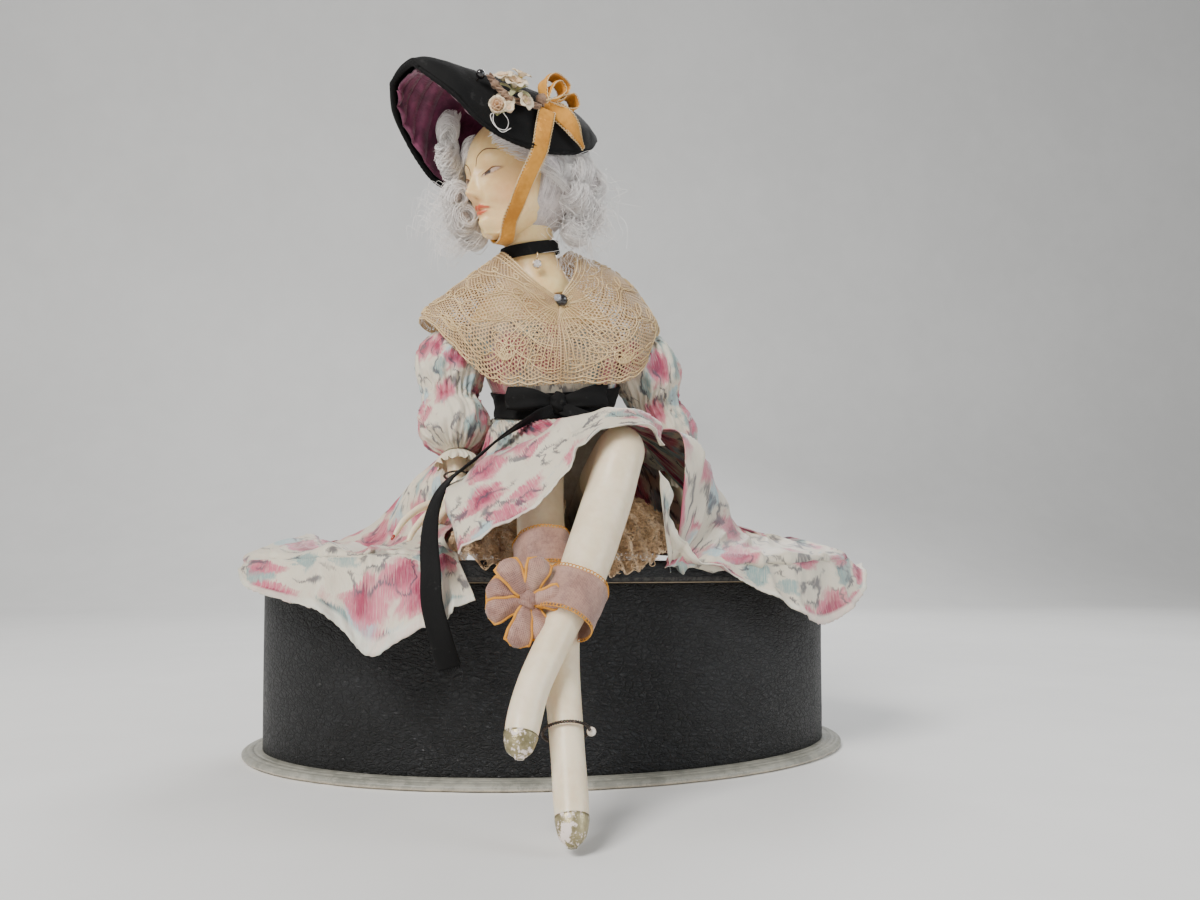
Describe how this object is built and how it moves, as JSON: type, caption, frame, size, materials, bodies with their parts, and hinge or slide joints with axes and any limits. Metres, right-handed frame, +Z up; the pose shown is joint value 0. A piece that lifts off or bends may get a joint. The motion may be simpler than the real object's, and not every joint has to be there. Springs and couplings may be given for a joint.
{
  "type": "wax doll",
  "caption": "Seated wax doll in a printed silk dress, lace collar and velvet scoop hat, built on the lift-off lid of an oval leather-covered box.",
  "frame": {"origin": "centre of the underside of the oval base plate, on the surface that the box stands on", "axes": "+Z up, -Y towards the front where the doll's legs hang, +X to the right as seen from the front"},
  "size_m": [0.234, 0.2118, 0.2479],
  "materials": {
    "painted_base": "dull silver-grey paint, chipped to cream and brown along the lower edge",
    "board": "raw grey-brown board",
    "black_leather": "black grained leather, slightly worn on the rim",
    "lining_paper": "plain pale lining paper",
    "wire": "bare iron wire",
    "muslin": "unbleached muslin, stuffed",
    "wax": "tinted wax, satin, slightly translucent, ivory yellowed with age",
    "printed_silk": "ivory silk with a blurred warp print of pink, teal and grey flowers",
    "net_lace": "tan net with corded cream scrolls",
    "coarse_lace": "coarse tan-brown lace",
    "black_velvet": "black velvet",
    "organza": "mauve-grey organza ribbon with gilt picot edges",
    "plum_silk": "gathered plum silk",
    "black_glass": "black glass bead",
    "cloth_flower": "cream and peach cloth flowers",
    "dried_stem": "paper-wrapped twisted stems",
    "gold_velvet": "gold-apricot velvet ribbon with picot edges",
    "mohair": "white mohair, loose curls",
    "rhinestone": "clear foiled rhinestone",
    "dark_wire": "fine darkened wire"
  },
  "bodies": {
    "box": {"base_plate": "painted_base", "wall_core": "board", "leather_cover": "black_leather", "floor_lining": "lining_paper"},
    "doll": {"lid_core": "board", "lid_cover": "black_leather", "lid_collar": "board", "anchor_washer": "wire", "spine_wire": "wire", "shoulder_wire": "wire", "right_leg_wire": "wire", "left_leg_wire": "wire", "torso": "muslin", "right_thigh": "muslin", "left_thigh": "muslin", "right_leg": "wax", "left_leg": "wax", "bust": "wax", "bodice": "printed_silk", "fichu": "net_lace", "skirt_front": "printed_silk", "skirt_side": "printed_silk", "skirt_right": "printed_silk", "skirt_back": "printed_silk", "petticoat_left": "coarse_lace", "petticoat_right": "coarse_lace", "sash_belt": "black_velvet", "sash_bow": "black_velvet", "sash_tail": "black_velvet", "right_garter": "organza", "left_garter": "organza", "garter_bow": "organza", "hat_shell": "black_velvet", "hat_lining": "plum_silk", "hat_pin": "black_glass", "rosebud": "cloth_flower", "blossoms": "cloth_flower", "sprig": "dried_stem", "hat_bow": "gold_velvet", "chin_strap": "gold_velvet", "wig_crown": "mohair", "wig_left": "mohair", "wig_right": "mohair", "choker": "black_velvet", "brooch": "black_glass"},
    "right_arm": {"right_upper_arm": "muslin", "right_forearm": "wax", "right_sleeve": "printed_silk", "right_cuff": "printed_silk"},
    "left_arm": {"left_upper_arm": "muslin", "left_forearm": "wax", "left_sleeve": "printed_silk", "left_cuff": "printed_silk"},
    "pendant": {"pendant": "rhinestone"},
    "bracelet": {"bracelet": "dark_wire"},
    "anklet": {"anklet": "dark_wire"}
  },
  "joints": [
    {"name": "lid_lift", "type": "slide", "parent": "box", "child": "doll", "axis": [0, 0, 1], "range_m": [0, 0.09]},
    {"name": "right_arm_swing", "type": "hinge", "parent": "doll", "child": "right_arm", "pos_m": [-0.037, 0.001, 0.1603], "axis": [0, 1, 0], "range_deg": [0, 5]},
    {"name": "left_arm_swing", "type": "hinge", "parent": "doll", "child": "left_arm", "pos_m": [0.031, 0.003, 0.1623], "axis": [0, -1, 0], "range_deg": [0, 5]},
    {"name": "pendant_swing", "type": "hinge", "parent": "doll", "child": "pendant", "pos_m": [-0.0086, -0.0144, 0.1849], "axis": [0, 1, 0], "range_deg": [-25, 25]},
    {"name": "bracelet_turn", "type": "hinge", "parent": "right_arm", "child": "bracelet", "pos_m": [-0.03759, -0.01246, 0.10122], "axis": [0.0451, -0.2705, -0.9617], "range_deg": [-30, 30]},
    {"name": "anklet_turn", "type": "hinge", "parent": "doll", "child": "anklet", "pos_m": [-0.01194, -0.1172, 0.02631], "axis": [-0.0094, -0.6102, -0.7922], "range_deg": [-20, 20]}
  ]
}
